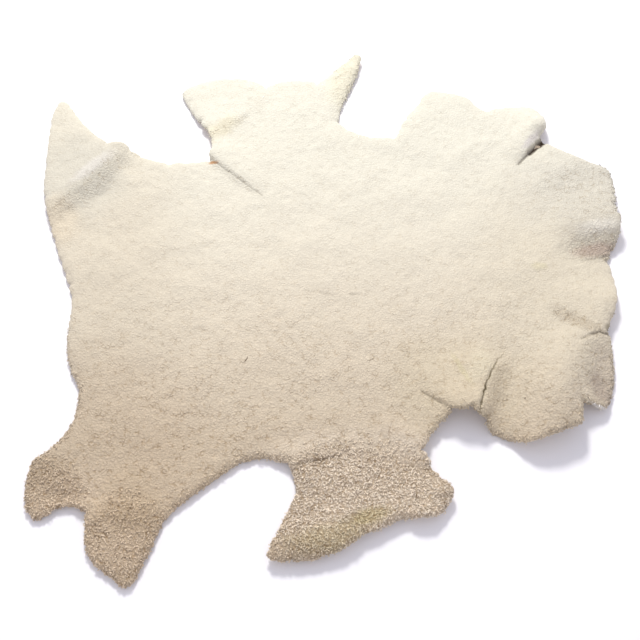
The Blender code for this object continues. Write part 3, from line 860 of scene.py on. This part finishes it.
# Each ringlet is six draws of its ring. A row gives how far the first five bend over and turn aside,
# in degrees, and how wide the ring is after each, in shares of the thickness. The sixth closes the tip.
HOOKS = (
    Hook("flat ringlet", (50, 40, 8, 4, 2), (10, 46, 66, 72, 78), (1.05, 1.05, 1.0, 0.9, 0.7)),
    Hook(
        "flat ringlet, left", (50, 40, 8, 4, 2), (-10, -46, -66, -72, -78), (1.05, 1.05, 1.0, 0.9, 0.7)
    ),
    Hook("snail", (32, 56, 62, 66, 70), (8, 16, 16, 16, 14), (1.1, 1.05, 1.0, 0.9, 0.7)),
    Hook("snail, left", (32, 56, 62, 66, 70), (-8, -16, -16, -16, -14), (1.1, 1.05, 1.0, 0.9, 0.7)),
    Hook("open hook", (40, 40, 36, 30, 26), (14, 34, 40, 42, 36), (1.05, 1.0, 0.95, 0.85, 0.65)),
    Hook("wave", (52, 36, -14, -10, 30), (24, -30, -44, 40, 46), (1.05, 1.0, 0.95, 0.85, 0.65)),
)


def drawn_curl(hook, sizes):
    """One ringlet as a closed mesh: a ring drawn up, bent over step by step and closed at its tip.

    Returns its vertices, its faces and how far along the strand each vertex is.
    """
    shape = bmesh.new()
    root = bmesh.ops.create_circle(shape, cap_ends=True, segments=4, radius=sizes.thickness)["verts"]
    bmesh.ops.reverse_faces(shape, faces=shape.faces[:])
    rung = {vert: 0.0 for vert in root}
    edges = shape.edges[:]
    centre = Vector((0.0, 0.0, -sizes.root_depth))
    bmesh.ops.translate(shape, verts=shape.verts[:], vec=centre)
    heading = Matrix.Identity(3)
    draws = len(hook.bends) + 1
    width = 1.0
    for step in range(draws):
        made = bmesh.ops.extrude_edge_only(shape, edges=edges)["geom"]
        verts = [item for item in made if isinstance(item, bmesh.types.BMVert)]
        ring = set(verts)
        edges = [edge for edge in shape.edges if edge.verts[0] in ring and edge.verts[1] in ring]
        for vert in verts:
            rung[vert] = (step + 1) / draws
        stride = heading @ Vector((0.0, 0.0, sizes.length / draws))
        bmesh.ops.translate(shape, verts=verts, vec=stride)
        centre = centre + stride
        if step == draws - 1:
            bmesh.ops.pointmerge(shape, verts=verts, merge_co=centre)
            continue
        turn = Matrix.Rotation(math.radians(hook.bends[step]), 3, "Y")
        turn = turn @ Matrix.Rotation(math.radians(hook.swerves[step]), 3, "X")
        spin = heading @ turn @ heading.inverted()
        bmesh.ops.rotate(shape, verts=verts, cent=centre, matrix=spin)
        heading = heading @ turn
        swell = hook.swells[step] / width
        width = hook.swells[step]
        bmesh.ops.scale(
            shape, verts=verts, vec=(swell, swell, swell), space=Matrix.Translation(-centre)
        )
    bmesh.ops.recalc_face_normals(shape, faces=shape.faces[:])
    shape.verts.index_update()
    verts = np.array([vert.co for vert in shape.verts])
    faces = [[vert.index for vert in face.verts] for face in shape.faces]
    along = np.array([rung.get(vert, 1.0) for vert in shape.verts])
    shape.free()
    return verts, faces, along


def turned(normals, lean, bend):
    """Rotation matrices that stand a curl on each normal, leant over and hooked towards bend."""
    up = normals + lean
    up /= np.linalg.norm(up, axis=1)[:, None]
    side = bend - np.sum(bend * up, axis=1)[:, None] * up
    side /= np.maximum(np.linalg.norm(side, axis=1), 1e-9)[:, None]
    third = np.cross(up, side)
    return np.stack((side, third, up), axis=2)


def curl_mesh(name, templates, kinds, places, turns, sizes, down, values):
    """One mesh of many curls: each a turned and scaled copy of its template.

    Down is a vector for each curl that its vertex normals are drawn towards.
    """
    verts, along, loops, counts, owner = [], [], [], [], []
    offset = 0
    for kind, (shape, faces, rungs) in enumerate(templates):
        chosen = np.flatnonzero(kinds == kind)
        moved = np.einsum("nij,vj->nvi", turns[chosen], shape) * sizes[chosen, None, None]
        moved += places[chosen, None, :]
        # Along the rim the curls rest on the floor.
        low = moved[:, :, 2].min(axis=1)
        moved[:, :, 2] += np.maximum(REST - low, 0.0)[:, None]
        verts.append(moved.reshape(-1, 3))
        along.append(np.tile(rungs, len(chosen)))
        owner.append(np.repeat(chosen, len(shape)))
        corners = np.array([corner for face in faces for corner in face])
        starts = offset + len(shape) * np.arange(len(chosen))
        loops.append((starts[:, None] + corners[None, :]).ravel())
        counts.append(np.tile([len(face) for face in faces], len(chosen)))
        offset += len(shape) * len(chosen)
    verts, along = np.concatenate(verts), np.concatenate(along)
    loops, counts, owner = np.concatenate(loops), np.concatenate(counts), np.concatenate(owner)
    mesh = bpy.data.meshes.new(name)
    mesh.vertices.add(len(verts))
    mesh.vertices.foreach_set("co", verts.ravel())
    mesh.loops.add(len(loops))
    mesh.loops.foreach_set("vertex_index", loops.astype(np.int32))
    mesh.polygons.add(len(counts))
    mesh.polygons.foreach_set("loop_start", (np.cumsum(counts) - counts).astype(np.int32))
    mesh.polygons.foreach_set("use_smooth", np.ones(len(counts), dtype=bool))
    mesh.update(calc_edges=True)
    leaning = np.empty(len(verts) * 3, dtype=np.float32)
    mesh.vertex_normals.foreach_get("vector", leaning)
    leaning = leaning.reshape(-1, 3) + down[owner]
    leaning /= np.linalg.norm(leaning, axis=1)[:, None]
    mesh.normals_split_custom_set_from_vertices(leaning)
    add_values(mesh, "along", along)
    for key, numbers in values.items():
        add_values(mesh, key, numbers[owner])
    return mesh


def shown(name, mesh):
    """A mesh as an object of the scene."""
    piece = bpy.data.objects.new(name, mesh)
    bpy.context.scene.collection.objects.link(piece)
    return piece


class SHEEPSKIN_OT_lay_hide(bpy.types.Operator):
    """Lays the skin with the bed of its wool over the solid"""

    bl_idname = "sheepskin.lay_hide"
    bl_label = "Lay hide"

    def execute(self, context):
        colours = context.scene.sheepskin_colours
        shape = smoothed_copy()
        lay_bed(shape, context.scene.sheepskin_hide)
        mesh = bpy.data.meshes.new("fleece")
        shape.to_mesh(mesh)
        shape.free()
        places = np.array([vert.co for vert in mesh.vertices])
        add_values(mesh, "along", np.zeros(len(places)))
        add_values(mesh, "tone", np.full(len(places), 0.4))
        add_values(mesh, "coarse", coarseness(to_drawing(places)))
        add_values(mesh, "gap", gap_shade(to_drawing(places)))
        mesh.materials.append(wool_material(colours))
        mesh.materials.append(skin_material(colours))
        fleece = shown("fleece", mesh)
        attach(fleece, "root")
        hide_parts(NODE)
        return {"FINISHED"}


class SHEEPSKIN_OT_grow_curls(bpy.types.Operator):
    """Grows the ringlets of the coarse wool and of the rim, leaning together in clumps"""

    bl_idname = "sheepskin.grow_curls"
    bl_label = "Grow ringlets"

    PIECES = 5

    def execute(self, context):
        sizes = context.scene.sheepskin_curls
        rng = np.random.default_rng(sizes.seed)
        mesh = bpy.data.objects["fleece"].data
        mesh.calc_loop_triangles()
        count = len(mesh.loop_triangles)
        corners = np.empty(count * 3, dtype=np.int32)
        mesh.loop_triangles.foreach_get("vertices", corners)
        slots = np.empty(count, dtype=np.int32)
        mesh.loop_triangles.foreach_get("material_index", slots)
        corners = corners.reshape(-1, 3)[slots == 0]
        places = np.array([vert.co for vert in mesh.vertices])
        normals = np.array([vert.normal for vert in mesh.vertices])
        surface = (places[corners], normals[corners])
        middles = to_drawing(surface[0].mean(axis=1))
        coarse = coarseness(middles)
        clump_at, _ = scatter(surface, np.full(len(coarse), sizes.clump), CLUMP_TRIES, rng)
        # Coarse wool and the rim are full of ringlets, and fine wool has none.
        rim = rim_share(surface[0].mean(axis=1)) * np.clip(coarse / RIM_COARSENESS, 0.0, 1.0)
        full = np.clip((coarse - RINGLETS_FROM) / RINGLETS_BAND + 1.2 * rim, 0.0, 1.0)
        spacing = sizes.sparse + (sizes.spacing - sizes.sparse) * full
        root, normal = scatter(surface, spacing, RINGLET_TRIES, rng, full)
        keep = ~bare(to_drawing(root)) & (root[:, 2] > ROOT_FLOOR)
        root, normal = root[keep], normal[keep]
        # Round the rim the ringlets turn up from under it.
        normal[:, 2] += np.where(normal[:, 2] < 0.0, 0.6, 0.0)
        normal /= np.linalg.norm(normal, axis=1)[:, None]
        clumps = KDTree(len(clump_at))
        for index, place in enumerate(clump_at):
            clumps.insert(place, index)
        clumps.balance()
        nearest = np.array([clumps.find(place)[1] for place in root])
        inward = clump_at[nearest] - root
        inward -= np.sum(inward * normal, axis=1)[:, None] * normal
        coarse = coarseness(to_drawing(root))
        around = np.cross(normal, inward)
        wander = rng.normal(size=root.shape) * 0.5 * sizes.clump
        swirl = rng.choice((-1.0, 1.0), size=len(clump_at))[nearest]
        bend = around * swirl[:, None] + inward * 0.6 + wander
        lean = inward / sizes.clump * sizes.lean + rng.normal(size=root.shape) * 0.2
        turns = turned(normal, lean, bend)
        # Fine wool lies low, and coarse ringlets stand up.
        turns[:, :, 2] *= (LOW_LOFT + LOFT_GAIN * coarse)[:, None]
        scale = rng.uniform(SMALLEST_RINGLET, 1.0, len(root))
        down = normal * (sizes.down * (5.0 - 4.0 * np.clip(coarse * 1.6, 0.0, 1.0)))[:, None]
        kinds = rng.integers(0, len(HOOKS), len(root))
        own = rng.random(len(root))
        shared = rng.random(len(clump_at))[nearest]
        tone = 0.6 * own + 0.4 * shared
        templates = [drawn_curl(hook, sizes) for hook in HOOKS]
        material = bpy.data.objects["fleece"].data.materials[0]
        order = np.argsort(root[:, 0])
        for number, part in enumerate(np.array_split(order, self.PIECES), 1):
            values = {"tone": tone[part], "coarse": coarse[part]}
            name = f"curls_{number}"
            made = curl_mesh(
                name, templates, kinds[part], root[part], turns[part], scale[part], down[part], values
            )
            made.materials.append(material)
            piece = shown(name, made)
            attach(piece, "root")
        return {"FINISHED"}


class SHEEPSKIN_OT_set_stage(bpy.types.Operator):
    """Sets the pale floor, the soft light behind the hide and the camera"""

    bl_idname = "sheepskin.set_stage"
    bl_label = "Set stage"

    def execute(self, context):
        scene = context.scene
        sizes = scene.sheepskin_stage
        shape = bmesh.new()
        bmesh.ops.create_grid(shape, x_segments=8, y_segments=8, size=FLOOR_REACH)
        bmesh.ops.translate(shape, verts=shape.verts[:], vec=(0.0, 0.0, -0.5 * MM))
        mesh = bpy.data.meshes.new("studio_floor")
        shape.to_mesh(mesh)
        shape.free()
        mesh.materials.append(floor_material(sizes.floor))
        shown("studio_floor", mesh)
        lamp = bpy.data.lights.new("soft_key", "AREA")
        lamp.energy = sizes.key
        lamp.shape = "DISK"
        lamp.size = 0.7
        lamp.color = (1.0, 0.995, 0.98)
        key = bpy.data.objects.new("soft_key", lamp)
        key.location = KEY_PLACE
        key.rotation_euler = (-key.location).to_track_quat("-Z", "Y").to_euler()
        scene.collection.objects.link(key)
        scene.world = bpy.data.worlds.new("studio_air")
        scene.world.use_nodes = True
        air = scene.world.node_tree.nodes["Background"]
        air.inputs["Color"].default_value = (0.90, 0.89, 1.0, 1.0)
        air.inputs["Strength"].default_value = sizes.fill
        lens = bpy.data.cameras.new("view")
        lens.lens = 60.0
        lens.sensor_width = 36.0
        camera = bpy.data.objects.new("view", lens)
        camera.location = VIEW_PLACE
        camera.rotation_euler = (math.radians(VIEW_TILT), 0.0, 0.0)
        scene.collection.objects.link(camera)
        scene.camera = camera
        scene.view_settings.view_transform = "Standard"
        return {"FINISHED"}


class SHEEPSKIN_PT_sidebar(bpy.types.Panel):
    """Lists the steps and the sizes of the sheepskin"""

    bl_idname = "SHEEPSKIN_PT_sidebar"
    bl_label = "Sheepskin"
    bl_space_type = "VIEW_3D"
    bl_region_type = "UI"
    bl_category = "Sheepskin"

    def draw(self, context):
        for operator in OPERATORS:
            self.layout.operator(operator.bl_idname)
        for name, group in GROUPS.items():
            box = self.layout.box()
            for key in group.__annotations__:
                box.prop(getattr(context.scene, name), key)


OPERATORS = (SHEEPSKIN_OT_set_stage, SHEEPSKIN_OT_lay_hide, SHEEPSKIN_OT_grow_curls)
CLASSES = (*GROUPS.values(), *OPERATORS, SHEEPSKIN_PT_sidebar)


def register():
    for item in CLASSES:
        bpy.utils.register_class(item)
    for name, group in GROUPS.items():
        setattr(bpy.types.Scene, name, bpy.props.PointerProperty(type=group))


def unregister():
    for name in GROUPS:
        delattr(bpy.types.Scene, name)
    for item in reversed(CLASSES):
        bpy.utils.unregister_class(item)


def main():
    register()
    bpy.ops.sheepskin.set_stage()
    bpy.ops.sheepskin.lay_hide()
    bpy.ops.sheepskin.grow_curls()


if __name__ == "__main__":
    main()
